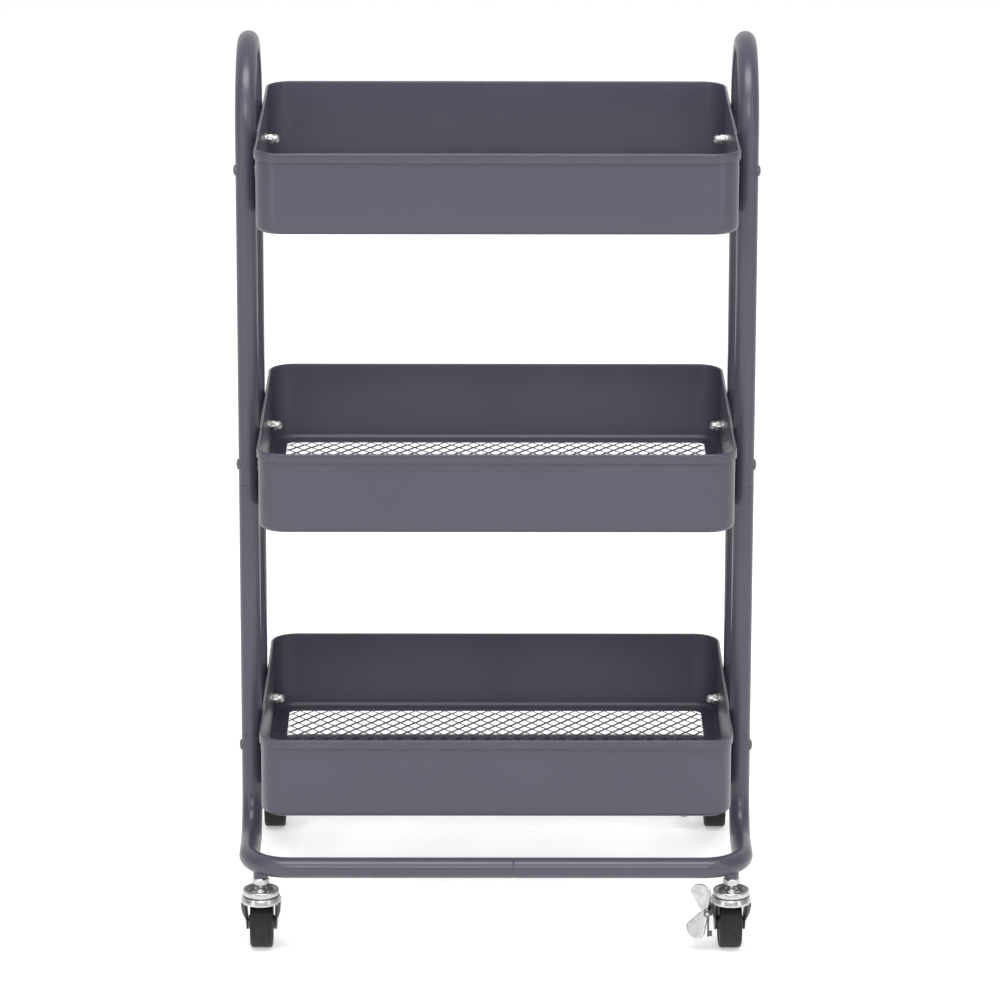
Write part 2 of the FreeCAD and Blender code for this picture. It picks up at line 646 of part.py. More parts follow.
def brake_lobe(up, radius, reach, tip, lean_deg):
    """Round-ended pedal leaving the hinge outward and up (up = 1) or down (up = -1)."""
    root = BARREL_R / 2
    outline = Part.Wire([
        Part.makeLine(Vector(-NECK_HALF, root, 0), Vector(-radius, reach, 0)),
        arc_between(Vector(-radius, reach, 0), Vector(0, reach + tip, 0),
                    Vector(radius, reach, 0)),
        Part.makeLine(Vector(radius, reach, 0), Vector(NECK_HALF, root, 0)),
        Part.makeLine(Vector(NECK_HALF, root, 0), Vector(-NECK_HALF, root, 0))])
    plate = Part.Face(outline).extrude(Z_AXIS * LEVER_T)
    plate.rotate(ORIGIN, X_AXIS, 90 * up)
    plate.rotate(ORIGIN, Z_AXIS, -LEVER_TURN_DEG)
    plate.rotate(ORIGIN, Y_AXIS, -up * lean_deg)
    plate.translate(PIVOT_AT - X_AXIS * LEVER_T / 2)
    return plate


def brake_lever():
    """Two-lobed rocker on its hinge barrel."""
    barrel = rod(BARREL_R, *along_hinge(BARREL_HALF))
    upper = brake_lobe(1, UPPER_LOBE_R, UPPER_LOBE_REACH, UPPER_LOBE_TIP, UPPER_LEAN_DEG)
    lower = brake_lobe(-1, LOWER_LOBE_R, LOWER_LOBE_REACH, LOWER_LOBE_TIP, LOWER_LEAN_DEG)
    rocker = barrel.fuse([upper, lower])
    return rocker.cut(rod(PIVOT_PIN_D / 2 + RUN_FIT, *along_hinge(BARREL_HALF))).removeSplitter()


def brake_shoe():
    """Tongue down from the barrel, with a round stub that meets the tyre's side."""
    inner = PIVOT_X + TONGUE_OUT + LEVER_T
    middle = PIVOT_Y - BARREL_HALF + TONGUE_W / 2
    low = PIVOT_Z - TONGUE_DROP
    tongue = box_between(Vector(inner - LEVER_T, middle - TONGUE_W / 2, low),
                         Vector(inner, middle + TONGUE_W / 2, PIVOT_Z))
    stub_start = Vector(inner, middle, low + STUB_D / 2)
    stub = rod(STUB_D / 2, stub_start, stub_start + X_AXIS * STUB_T)
    pieces = tongue.fuse(stub).cut(rod(BARREL_R, *along_hinge(BARREL_HALF))).cut(brake_lever())
    return min(pieces.Solids, key=lambda solid: solid.CenterOfMass.z)


def build_casters():
    """Fixed caster pieces in groups, then the turning pieces of each caster in their own nodes."""
    groups = {"caster_sockets": [], "caster_stems": [], "caster_locknuts": [], "race_balls": []}
    for name, caster in CASTERS.items():
        groups["caster_sockets"].append(seated(caster_socket(), caster))
        groups["caster_stems"].append(seated(caster_stem(), caster))
        groups["caster_locknuts"].append(seated(caster_locknut(), caster))
        groups["race_balls"] += [seated(ball, caster) for ball in race_balls()]
        save("raceway_ring_" + name, seated(raceway_ring(), caster))
        save("fork_" + name, seated(caster_fork(), caster))
        save("axle_" + name, seated(caster_axle(), caster))
        save("hub_" + name, seated(caster_hub(), caster))
        save("tyre_" + name, seated(caster_tyre(), caster))
        if caster["brake"]:
            save("brake_bracket_" + name, seated(brake_bracket(), caster))
            save("brake_pin_" + name, seated(brake_pin(), caster))
            save("brake_lever_" + name, seated(brake_lever(), caster))
            save("brake_shoe_" + name, seated(brake_shoe(), caster))
    for name, solids in groups.items():
        save(name, *solids)


for side in SIDES:
    build_hoop(side)
    for end in ENDS:
        build_leg(side, end)
        build_base_tube(side, end)
build_sleeves()
for tray in RIM_Z:
    build_tray(tray)
build_mesh_floors()
build_tray_fasteners()
build_casters()
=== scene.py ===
"""Rolling utility cart: the visible pieces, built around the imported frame. Metres, +Z up, front at -Y."""
import json
import math

import bmesh
import bpy
from mathutils import Matrix, Vector


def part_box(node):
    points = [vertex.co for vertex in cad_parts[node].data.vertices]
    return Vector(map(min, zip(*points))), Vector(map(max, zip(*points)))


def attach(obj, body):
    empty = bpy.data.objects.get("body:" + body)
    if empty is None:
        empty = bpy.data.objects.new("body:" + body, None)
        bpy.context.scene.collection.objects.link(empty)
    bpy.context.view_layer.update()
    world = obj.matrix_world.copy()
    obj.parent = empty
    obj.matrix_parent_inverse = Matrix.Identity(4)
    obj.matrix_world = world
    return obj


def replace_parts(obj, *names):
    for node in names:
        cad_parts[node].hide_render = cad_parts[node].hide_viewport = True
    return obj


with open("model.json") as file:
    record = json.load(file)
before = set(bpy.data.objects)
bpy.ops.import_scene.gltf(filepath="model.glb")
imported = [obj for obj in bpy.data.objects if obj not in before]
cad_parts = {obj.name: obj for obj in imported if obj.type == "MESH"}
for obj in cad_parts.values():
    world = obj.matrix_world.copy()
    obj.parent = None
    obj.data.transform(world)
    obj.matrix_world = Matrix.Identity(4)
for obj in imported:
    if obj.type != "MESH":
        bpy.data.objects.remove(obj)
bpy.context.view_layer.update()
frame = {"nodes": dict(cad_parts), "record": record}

MM = 0.001
TRAYS = ("top", "middle", "bottom")
SIDES = {"left": -1, "right": 1}
ENDS = {"front": -1, "rear": 1}
Y_AXIS = Vector((0, 1, 0))
Z_AXIS = Vector((0, 0, 1))


# ---- Sizes and places read from the frame --------------------------------------------------
def centre_of(node):
    low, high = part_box(node)
    return (low + high) / 2


def size_of(node):
    low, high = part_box(node)
    return high - low


TUBE_R = size_of("leg_front_right").x / 2
LEG_X = centre_of("leg_front_right").x
LEG_Y = centre_of("leg_rear_right").y
HANDLE_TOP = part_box("hoop_right")[1].z
ARCH_Z = HANDLE_TOP - TUBE_R - LEG_Y
UPPER_SEAM_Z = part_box("leg_front_right")[1].z
LOWER_SEAM_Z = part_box("leg_front_right")[0].z
BAR_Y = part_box("base_rear_right")[1].y - TUBE_R
BAR_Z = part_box("base_rear_right")[0].z + TUBE_R
BAR_SEAM_X = abs(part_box("base_front_right")[0].x)
FOOT_BEND_R = 40 * MM
PLAN_BEND_R = 36 * MM
STEM_SET_IN = PLAN_BEND_R * (1 - math.sqrt(0.5))

TRAY_LOW, TRAY_RIM = {}, {}
for tray in TRAYS:
    TRAY_LOW[tray], TRAY_RIM[tray] = (corner.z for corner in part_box("tray_" + tray))
HEM_PROUD = 1.4 * MM
TRAY_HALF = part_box("tray_top")[1].xy - Vector((HEM_PROUD, HEM_PROUD))
TRAY_CORNER_R = 23 * MM
SHEET = 1 * MM
FLANGE = 15 * MM
BOLT_DROP = 33.6 * MM

CASTERS = {
    "front_left": (Vector((-LEG_X + STEM_SET_IN, -BAR_Y + STEM_SET_IN, 0)), 0.0),
    "front_right": (Vector((LEG_X - STEM_SET_IN, -BAR_Y + STEM_SET_IN, 0)), 2.0),
    "rear_left": (Vector((-LEG_X + STEM_SET_IN, BAR_Y - STEM_SET_IN, 0)), 0.0),
    "rear_right": (Vector((LEG_X - STEM_SET_IN, BAR_Y - STEM_SET_IN, 0)), 0.0),
}
BRAKED = ("front_right", "rear_right")
WHEEL_R = size_of("tyre_front_left").z / 2
TYRE_W = size_of("tyre_front_left").x
TRAIL = abs(centre_of("tyre_front_left").y - CASTERS["front_left"][0].y)


# ---- Materials -----------------------------------------------------------------------------
class Nodes:
    """A new material's node tree, with short ways to add and join nodes."""

    def __init__(self, name):
        self.material = bpy.data.materials.new(name)
        self.material.use_nodes = True
        self.tree = self.material.node_tree
        self.shader = self.tree.nodes["Principled BSDF"]
        coordinates = self.tree.nodes.new("ShaderNodeTexCoord")
        self.place = coordinates.outputs["Object"]

    def noise(self, scale, detail=4.0, roughness=0.5, stretch=None):
        source = self.place
        if stretch:
            mapping = self.tree.nodes.new("ShaderNodeMapping")
            mapping.inputs["Scale"].default_value = stretch
            self.tree.links.new(source, mapping.inputs["Vector"])
            source = mapping.outputs["Vector"]
        node = self.tree.nodes.new("ShaderNodeTexNoise")
        node.inputs["Scale"].default_value = scale
        node.inputs["Detail"].default_value = detail
        node.inputs["Roughness"].default_value = roughness
        self.tree.links.new(source, node.inputs["Vector"])
        return node.outputs["Fac"]

    def ramp(self, value, low, high, start=0.3, end=0.7):
        """Map a 0..1 value to a colour or grey between low and high."""
        node = self.tree.nodes.new("ShaderNodeValToRGB")
        for element, at, shade in zip(node.color_ramp.elements, (start, end), (low, high)):
            element.position = at
            element.color = (*shade, 1) if isinstance(shade, tuple) else (shade, shade, shade, 1)
        self.tree.links.new(value, node.inputs["Fac"])
        return node.outputs["Color"]

    def mix(self, factor, first, second):
        node = self.tree.nodes.new("ShaderNodeMix")
        node.data_type = "RGBA"
        self.tree.links.new(factor, node.inputs["Factor"])
        self.tree.links.new(first, node.inputs["A"])
        self.tree.links.new(second, node.inputs["B"])
        return node.outputs["Result"]

    def edge_mask(self, start, end):
        """Bright where the surface is convex, along edges and rims."""
        geometry = self.tree.nodes.new("ShaderNodeNewGeometry")
        return self.ramp(geometry.outputs["Pointiness"], 0.0, 1.0, start, end)

    def bump(self, height, distance, strength=1.0, below=None):
        node = self.tree.nodes.new("ShaderNodeBump")
        node.inputs["Distance"].default_value = distance
        node.inputs["Strength"].default_value = strength
        self.tree.links.new(height, node.inputs["Height"])
        if below:
            self.tree.links.new(below, node.inputs["Normal"])
        return node.outputs["Normal"]

    def set(self, **values):
        """Constants of the shader, by socket name with underscores for spaces."""
        for name, value in values.items():
            self.shader.inputs[name.replace("_", " ")].default_value = value
        return self

    def link(self, value, socket):
        self.tree.links.new(value, self.shader.inputs[socket])
        return self


def paint(name, colour, deeper, rough, coat):
    """Satin powder coat: faint orange peel, a slow waviness of the sheet, slight unevenness."""
    m = Nodes(name)
    tone = m.ramp(m.noise(9, 3), deeper, colour)
    m.link(tone, "Base Color")
    m.link(m.ramp(m.noise(30, 2), *rough), "Roughness")
    wave = m.bump(m.noise(8, 1), 0.0004, 0.25)
    peel = m.bump(m.noise(400, 1), 0.00001, 0.3, wave)
    m.link(peel, "Normal")
    m.set(Metallic=0.0, IOR=1.42, Coat_Weight=coat, Coat_Roughness=0.2)
    return m.material


def zinc(name, colour=(0.52, 0.53, 0.52), dull=(0.38, 0.39, 0.39)):
    """Bright zinc plate: cloudy crystal tone and a little handling dulling."""
    m = Nodes(name)
    cloud = m.ramp(m.noise(140, 3, 0.6), dull, colour)
    m.link(cloud, "Base Color")
    m.link(m.ramp(m.noise(220, 3), 0.24, 0.38), "Roughness")
    m.link(m.bump(m.noise(600, 2), 0.00001, 0.3), "Normal")
    m.set(Metallic=1.0, Anisotropic=0.15)
    return m.material


def black_metal(name):
    """Black semi-gloss coat on pressed steel, a lighter grey along its convex edges."""
    m = Nodes(name)
    base = m.ramp(m.noise(120, 4), (0.012, 0.011, 0.012), (0.026, 0.024, 0.026))
    # lighter grey laid along the convex edges and rims through the edge mask
    edge_grey = m.ramp(m.noise(300, 3), (0.07, 0.07, 0.075), (0.14, 0.14, 0.15))
    m.link(m.mix(m.edge_mask(0.56, 0.7), base, edge_grey), "Base Color")
    m.link(m.ramp(m.noise(90, 3), 0.28, 0.42), "Roughness")
    m.link(m.bump(m.noise(700, 2), 0.00003, 0.5), "Normal")
    m.set(Metallic=0.0, Coat_Weight=0.2, Coat_Roughness=0.2)
    return m.material


def plastic(name, dark, light, rough=(0.42, 0.55)):
    """Moulded plastic with a fine spark texture."""
    m = Nodes(name)
    m.link(m.ramp(m.noise(80, 4), dark, light), "Base Color")
    m.link(m.ramp(m.noise(150, 3), *rough), "Roughness")
    m.link(m.bump(m.noise(1500, 2), 0.00004, 0.5), "Normal")
    m.set(Metallic=0.0)
    return m.material


def rubber(name, dark, light):
    """Wheel rubber: matte, lightly scuffed on the tread, with faint turning lines round it."""
    m = Nodes(name)
    scuffs = m.ramp(m.noise(170, 6, 0.7), dark, light, 0.35, 0.75)
    m.link(scuffs, "Base Color")
    m.link(m.ramp(m.noise(220, 4), 0.48, 0.68), "Roughness")
    lines = m.noise(260, 2, 0.5, (9.0, 0.6, 0.6))
    grain = m.bump(m.noise(1800, 2), 0.00004, 0.5)
    m.link(m.bump(lines, 0.00008, 0.5, grain), "Normal")
    m.set(Metallic=0.0, IOR=1.4, Specular_IOR_Level=0.35)
    return m.material


SLATE = (0.050, 0.047, 0.068)
SLATE_DEEP = (0.047, 0.044, 0.064)
FINISH = {
    "frame_paint": paint("frame_powder_coat", SLATE, SLATE_DEEP, (0.32, 0.38), 0.15),
    "tray_paint": paint("tray_powder_coat", SLATE, SLATE_DEEP, (0.30, 0.36), 0.05),
    "bare_steel": zinc("drawn_steel", (0.42, 0.42, 0.44), (0.32, 0.32, 0.34)),
    "dark_steel": paint("dark_screw_coat", (0.075, 0.072, 0.085), (0.05, 0.048, 0.058), (0.25, 0.35), 0.5),
    "zinc_plate": zinc("zinc_plate"),
    "black_fork": black_metal("black_fork_coat"),
    "hub_plastic": plastic("hub_plastic", (0.020, 0.019, 0.019), (0.042, 0.040, 0.040)),
    "tyre_rubber": rubber("tyre_rubber", (0.010, 0.0093, 0.0086), (0.018, 0.0165, 0.015)),
}


# ---- Mesh helpers --------------------------------------------------------------------------
def finish_mesh(name, mesh, slot, body, sharp_deg=32.0):
    """Object from a bmesh: clean, outward normals, smooth with sharp edges; rides on its body."""
    bmesh.ops.remove_doubles(mesh, verts=mesh.verts, dist=1e-7)
    bmesh.ops.recalc_face_normals(mesh, faces=mesh.faces)
    limit = math.radians(sharp_deg)
    for face in mesh.faces:
        face.smooth = True
    for edge in mesh.edges:
        if len(edge.link_faces) == 2:
            edge.smooth = edge.calc_face_angle(0.0) < limit
    data = bpy.data.meshes.new(name)
    mesh.to_mesh(data)
    mesh.free()
    data.materials.append(FINISH[slot])
    piece = bpy.data.objects.new(name, data)
    bpy.context.scene.collection.objects.link(piece)
    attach(piece, body)
    return piece


def skin(mesh, rings, wrap=True, around=True):
    """Quads between successive rings of vertices; wrap joins the last ring to the first."""
    count = len(rings)
    for index in range(count if wrap else count - 1):
        first = rings[index]
        second = rings[(index + 1) % count]
        points = len(first)
        for step in range(points if around else points - 1):
            after = (step + 1) % points
            mesh.faces.new((first[step], first[after], second[after], second[step]))


def turn_points(mesh, profile, matrix, segments):
    """Turn a (radius, height) profile about Z and place it; returns the rings of vertices."""
    rings = []
    for step in range(segments):
        angle = 2 * math.pi * step / segments
        heading = Vector((math.cos(angle), math.sin(angle), 0))
        rings.append([mesh.verts.new(matrix @ (heading * r + Z_AXIS * h)) for r, h in profile])
    return rings


def lathe(mesh, profile, matrix, segments=64, closed=False):
    """Turned solid; an open profile starts and ends on the axis."""
    rings = turn_points(mesh, profile, matrix, segments)
    skin(mesh, rings, True, closed)


def tube(name, path, radius, body, slot, replaced, sides=40, groove=0.35 * MM):
    """Round tube along (point, heading) stations, its ends rolled in a little at the joints."""
    mesh = bmesh.new()
    stations = [(path[0][0], path[0][1], radius - groove)]
    stations.append((path[0][0] + path[0][1] * groove, path[0][1], radius - groove * 0.3))
    stations.append((path[0][0] + path[0][1] * groove * 3, path[0][1], radius))
    stations += [(point, heading, radius) for point, heading in path[1:-1]]
    stations.append((path[-1][0] - path[-1][1] * groove * 3, path[-1][1], radius))
    stations.append((path[-1][0] - path[-1][1] * groove, path[-1][1], radius - groove * 0.3))
    stations.append((path[-1][0], path[-1][1], radius - groove))
    side = stations[0][1].orthogonal().normalized()
    rings = []
    for point, heading, ring_r in stations:
        side = (side - heading * side.dot(heading)).normalized()
        other = heading.cross(side)
        ring = []
        for step in range(sides):
            angle = 2 * math.pi * step / sides
            offset = side * math.cos(angle) + other * math.sin(angle)
            ring.append(mesh.verts.new(point + offset * ring_r))
        rings.append(ring)
    skin(mesh, rings, False, True)
    mesh.faces.new(rings[0])
    mesh.faces.new(reversed(rings[-1]))
    piece = finish_mesh(name, mesh, slot, body, 50)
    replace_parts(piece, replaced)
    return piece


def straight(start, end, spacing=20 * MM):
    """Stations along a straight run."""
    along = end - start
    count = max(2, int(along.length / spacing))
    heading = along.normalized()
    return [(start + along * step / count, heading) for step in range(count + 1)]


def bend(centre, start, start_heading, degrees=90, steps=18):
    """Stations along an arc that leaves start in start_heading."""
    stations = []
    radius = (start - centre).length
    outward = (start - centre).normalized()
    total = math.radians(degrees)
    for step in range(1, steps + 1):
        angle = total * step / steps
        point = centre + (outward * math.cos(angle) + start_heading * math.sin(angle)) * radius
        heading = start_heading * math.cos(angle) - outward * math.sin(angle)
        stations.append((point, heading.normalized()))
    return stations


# ---- Frame of tube -------------------------------------------------------------------------
def make_hoop(side):
    x = SIDES[side] * LEG_X
    foot = Vector((x, -LEG_Y, UPPER_SEAM_Z))
    spring = Vector((x, -LEG_Y, ARCH_Z))
    path = straight(foot, spring)
    path += bend(Vector((x, 0, ARCH_Z)), spring, Z_AXIS, 180, 40)
    path += straight(Vector((x, LEG_Y, ARCH_Z)), Vector((x, LEG_Y, UPPER_SEAM_Z)))[1:]
    tube("handle_hoop_" + side, path, TUBE_R, "root", "frame_paint", "hoop_" + side)


def make_leg(side, end):
    x = SIDES[side] * LEG_X
    y = ENDS[end] * LEG_Y
    path = straight(Vector((x, y, LOWER_SEAM_Z)), Vector((x, y, UPPER_SEAM_Z)))
    name = end + "_" + side
    tube("leg_tube_" + name, path, TUBE_R, "root", "frame_paint", "leg_" + name)


def make_base(side, end):
    sx, sy = SIDES[side], ENDS[end]
    x = sx * LEG_X
    level_y = LEG_Y + FOOT_BEND_R
    top = Vector((x, sy * LEG_Y, LOWER_SEAM_Z))
    bend_top = Vector((x, sy * LEG_Y, BAR_Z + FOOT_BEND_R))
    turn_start = Vector((x, sy * (BAR_Y - PLAN_BEND_R), BAR_Z))
    turn_end = Vector((sx * (LEG_X - PLAN_BEND_R), sy * BAR_Y, BAR_Z))
    seam = Vector((-sy * BAR_SEAM_X, sy * BAR_Y, BAR_Z))
    path = straight(top, bend_top)
    path += bend(Vector((x, sy * level_y, BAR_Z + FOOT_BEND_R)), bend_top, -Z_AXIS)
    path += straight(Vector((x, sy * level_y, BAR_Z)), turn_start)[1:]
    path += bend(Vector((turn_end.x, turn_start.y, BAR_Z)), turn_start, Y_AXIS * sy)
    path += straight(turn_end, seam)[1:]
    name = end + "_" + side
    tube("base_tube_" + name, path, TUBE_R, "root", "frame_paint", "base_" + name)


# ---- Trays ---------------------------------------------------------------------------------
def arc_profile(centre_d, centre_z, radius, start_deg, end_deg, steps=6):
    """Points of a section's round stretch, as (offset, height)."""
    points = []
    for step in range(steps + 1):
        angle = math.radians(start_deg + (end_deg - start_deg) * step / steps)
        points.append((centre_d + radius * math.cos(angle), centre_z + radius * math.sin(angle)))
    return points


def tray_section(height):
    """Closed section through wall, folded hem, floor bend and flange: offset out, height up."""
    bend_r = 5 * MM
    hem_low = height - 8.2 * MM
    fold_r = (HEM_PROUD + SHEET) / 2
    gap = HEM_PROUD - SHEET
    section = [(-FLANGE, 0.0)]
    section += arc_profile(-bend_r, bend_r, bend_r, -90, 0)
    section += [(0.0, height * 0.3), (0.0, height * 0.55), (0.0, hem_low + 1.1 * MM)]
    section += [(gap, hem_low + 1.1 * MM)]
    section += arc_profile(gap + SHEET / 2, hem_low + SHEET / 2, SHEET / 2, -180, 0, 5)
    section += arc_profile(HEM_PROUD - fold_r, height - fold_r, fold_r, 0, 180, 8)
    section += [(-SHEET, height * 0.6), (-SHEET, height * 0.3)]
    section += arc_profile(-bend_r, bend_r, bend_r - SHEET, 0, -90)
    section += [(-FLANGE, SHEET)]
    return section


def plan_point(offset, quarter, angle):
    """Point of the tray's plan outline at an offset from the outside of the wall."""
    sx = (1, -1, -1, 1)[quarter]
    sy = (1, 1, -1, -1)[quarter]
    centre = Vector((sx * (TRAY_HALF.x - TRAY_CORNER_R), sy * (TRAY_HALF.y - TRAY_CORNER_R)))
    radius = TRAY_CORNER_R + offset
    return centre + Vector((math.cos(angle), math.sin(angle))) * radius


def make_tray(tray):
    """Pressed tray wall, drawn round the corners."""
    section = tray_section(TRAY_RIM[tray] - TRAY_LOW[tray])
    corner_steps = 16
    side_steps = 10
    mesh = bmesh.new()
    rings = []
    for quarter in range(4):
        for step in range(corner_steps + 1):
            angle = math.pi / 2 * (quarter + step / corner_steps)
            ring = []
            for offset, height in section:
                x, y = plan_point(offset, quarter, angle)
                ring.append(mesh.verts.new((x, y, TRAY_LOW[tray] + height)))
            rings.append(ring)
        following = (quarter + 1) % 4
        angle = math.pi / 2 * (quarter + 1)
        for step in range(1, side_steps):
            ring = []
            for offset, height in section:
                start = plan_point(offset, quarter, angle)
                end = plan_point(offset, following, angle)
                x, y = start.lerp(end, step / side_steps)
                ring.append(mesh.verts.new((x, y, TRAY_LOW[tray] + height)))
            rings.append(ring)
    skin(mesh, rings, True, True)
    piece = finish_mesh("tray_wall_" + tray, mesh, "tray_paint", "root", 55)
    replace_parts(piece, "tray_" + tray)


MESH_PITCH = Vector((13.3, 18.5)) * MM
STRAND = 1.45 * MM
MESH_THICK = 1.2 * MM
STRAND_TILT = 0.3 * MM


def cell_centres(half_x, half_y):
    columns = int(half_x / (MESH_PITCH.x / 2))
    rows = int(half_y / (MESH_PITCH.y / 2))
    for column in range(-columns, columns + 1):
        for row in range(-rows, rows + 1):
            if (column + row) % 2 == 0:
                yield column * MESH_PITCH.x / 2, row * MESH_PITCH.y / 2


def make_mesh_floor(tray):
    """Expanded metal: diamond cells whose strands lean, under the tray's floor flange."""
    half_x, half_y = MESH_PITCH.x / 2, MESH_PITCH.y / 2
    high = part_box("mesh_floor_" + tray)[1]
    top = high.z
    reach_x = high.x - half_x
    reach_y = high.y - half_y
    tip_x = half_x - STRAND * 0.62
    tip_y = half_y - STRAND * 0.8
    flank_x = half_x / 2 - STRAND * 0.42
    flank_y = half_y / 2 - STRAND * 0.3
    boundary = [(half_x, 0), (half_x / 2, half_y / 2), (0, half_y), (-half_x / 2, half_y / 2),
                (-half_x, 0), (-half_x / 2, -half_y / 2), (0, -half_y), (half_x / 2, -half_y / 2)]
    opening = [(tip_x, 0), (flank_x, flank_y), (0, tip_y), (-flank_x, flank_y),
               (-tip_x, 0), (-flank_x, -flank_y), (0, -tip_y), (flank_x, -flank_y)]
    mesh = bmesh.new()
    for x, y in cell_centres(reach_x, reach_y):
        outer_top, outer_low, inner_top, inner_low = [], [], [], []
        for (bx, by), (ox, oy) in zip(boundary, opening):
            lean = STRAND_TILT * ox / tip_x
            level = top - STRAND_TILT
            outer_top.append(mesh.verts.new((x + bx, y + by, level)))
            outer_low.append(mesh.verts.new((x + bx, y + by, level - MESH_THICK + 2 * STRAND_TILT)))
            inner_top.append(mesh.verts.new((x + ox, y + oy, level + lean)))
            inner_low.append(mesh.verts.new((x + ox, y + oy, level + lean - MESH_THICK + 2 * STRAND_TILT)))
        for step in range(8):
            after = (step + 1) % 8
            mesh.faces.new((outer_top[step], outer_top[after], inner_top[after], inner_top[step]))
            mesh.faces.new((inner_top[step], inner_top[after], inner_low[after], inner_low[step]))
            mesh.faces.new((inner_low[step], inner_low[after], outer_low[after], outer_low[step]))
    piece = finish_mesh("mesh_panel_" + tray, mesh, "tray_paint", "root", 40)
    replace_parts(piece, "mesh_floor_" + tray)


# ---- Casters -------------------------------------------------------------------------------
def caster_matrix(name):
    """From a caster's own frame, its stem on the Z axis, to its corner of the base."""
    place, turn = CASTERS[name]
    return Matrix.Translation(place) @ Matrix.Rotation(math.radians(turn), 4, "Z")


def axle_matrix(name):
    """The same for pieces turned about the wheel's axle."""
    axle = Matrix.Translation((0, TRAIL, WHEEL_R)) @ Matrix.Rotation(math.pi / 2, 4, "Y")
    return caster_matrix(name) @ axle


def in_mm(points):
    return [(r * MM, h * MM) for r, h in points]


def thread(radius, depth, low, high, pitch):
    """Profile points of a thread shown as fine grooves, from low to high."""
    points = []
    count = int(abs(high - low) / pitch)
    step = (high - low) / count
    for turn in range(count):
        points.append((radius - depth, low + step * turn))
        points.append((radius, low + step * (turn + 0.3)))
        points.append((radius, low + step * (turn + 0.7)))
    points.append((radius - depth, high))
    return points


def ring_about(mesh, matrix, height, radius_at, segments):
    """Vertices round the Z axis at a height; radius_at gives the radius at an angle."""
    ring = []
    for step in range(segments):
        angle = 2 * math.pi * step / segments
        radius = radius_at(angle)
        point = Vector((radius * math.cos(angle), radius * math.sin(angle), height))
        ring.append(mesh.verts.new(matrix @ point))
    return ring


def hexagon_radius(angle, flats, cone):
    """Radius of a hexagon whose corners are turned down to a cone."""
    to_flat = (angle + math.pi / 6) % (math.pi / 3) - math.pi / 6
    return min(flats / 2 / math.cos(to_flat), cone)


def nut_rings(mesh, flats, rows, matrix, bore=0.0, segments=72):
    """Hexagon nut: rows are (height, cone radius); both ends are closed if there is no bore."""
    rings = []
    for height, cone in rows:
        rings.append(ring_about(mesh, matrix, height, lambda a: hexagon_radius(a, flats, cone), segments))
    if bore:
        for height in (rows[-1][0], rows[0][0]):
            rings.append(ring_about(mesh, matrix, height, lambda a: bore, segments))
        skin(mesh, rings, True, True)
    else:
        skin(mesh, rings, False, True)
        mesh.faces.new(rings[0])
        mesh.faces.new(rings[-1])


STEM_R = 4 * MM
LOCKNUT_FLATS = 13 * MM


def make_stems():
    """All four stems with their threads, collars and hollow dishes."""
    profile = [(0.0, 82.0), (3.4, 82.0)]
    profile += thread(4.0, 0.28, 81.4, 60.6, 1.25)
    profile += [(3.65, 60.2), (3.65, 58.6), (4.9, 58.2), (5.6, 57.4), (5.6, 56.2), (6.2, 55.4), (7.4, 54.8)]
    profile += [(10.6, 54.9), (12.0, 55.5), (12.7, 56.4), (13.2, 57.2), (13.9, 57.5), (14.9, 57.45)]
    profile += [(15.5, 57.1), (15.8, 56.5), (15.8, 53.3), (15.6, 52.5), (15.0, 52.0)]
    profile += [(10.6, 52.0), (10.6, 51.6), (8.2, 51.6), (7.0, 49.6), (4.0, 49.6)]
    profile += [(4.0, 45.8), (5.4, 45.8), (4.9, 45.1), (4.0, 44.8), (0.0, 44.8)]
    mesh = bmesh.new()
    for name in CASTERS:
        lathe(mesh, in_mm(profile), caster_matrix(name), 72)
    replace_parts(finish_mesh("swivel_stems", mesh, "zinc_plate", "root", 38), "caster_stems")


def make_locknuts():
    """Hexagon nuts that lock the stems under their sockets, a flat to the front."""
    mesh = bmesh.new()
    rows = [(61.6, 6.1), (62.5, 7.55), (64.0, 7.7), (66.7, 7.55), (67.6, 6.1)]
    turn = Matrix.Rotation(math.radians(30), 4, "Z")
    for name in CASTERS:
        nut_rings(mesh, LOCKNUT_FLATS, in_mm(rows), caster_matrix(name) @ turn, STEM_R)
    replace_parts(finish_mesh("stem_locknuts", mesh, "zinc_plate", "root", 24), "caster_locknuts")


def make_sockets():
    """Collars that stand out of the underside of the base tube."""
    profile = [(0.0, 84.0), (6.5, 84.0), (6.5, 68.3), (6.3, 67.8), (5.8, 67.6), (4.4, 67.6)]
    profile += [(4.0, 68.0), (4.0, 82.0), (0.0, 82.0)]
    mesh = bmesh.new()
    for name in CASTERS:
        lathe(mesh, in_mm(profile), caster_matrix(name), 56)
    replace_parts(finish_mesh("stem_sockets", mesh, "frame_paint", "root", 40), "caster_sockets")


def make_ring(name):
    """Plated race ring: straight band, then a cone up to its lip."""
    profile = [(14.6, 45.9), (14.9, 45.6), (17.0, 45.6), (17.4, 45.8), (17.5, 46.2), (17.5, 47.4)]
    profile += [(17.3, 48.0), (16.75, 50.6), (16.4, 51.3), (15.7, 51.6), (12.6, 51.6), (12.2, 51.3)]
    profile += [(12.2, 49.2), (14.6, 49.2)]
    mesh = bmesh.new()
    lathe(mesh, in_mm(profile), caster_matrix(name), 80, True)
    piece = finish_mesh("race_ring_" + name, mesh, "zinc_plate", "swivel_" + name, 38)
    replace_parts(piece, "raceway_ring_" + name)


def circle_through(a, b, c):
    """Centre of the circle through three points of a plane."""
    d = 2 * (a.x * (b.y - c.y) + b.x * (c.y - a.y) + c.x * (a.y - b.y))
    squares = [point.length_squared for point in (a, b, c)]
    x = (squares[0] * (b.y - c.y) + squares[1] * (c.y - a.y) + squares[2] * (a.y - b.y)) / d
    y = (squares[0] * (c.x - b.x) + squares[1] * (a.x - c.x) + squares[2] * (b.x - a.x)) / d
    return Vector((x, y))


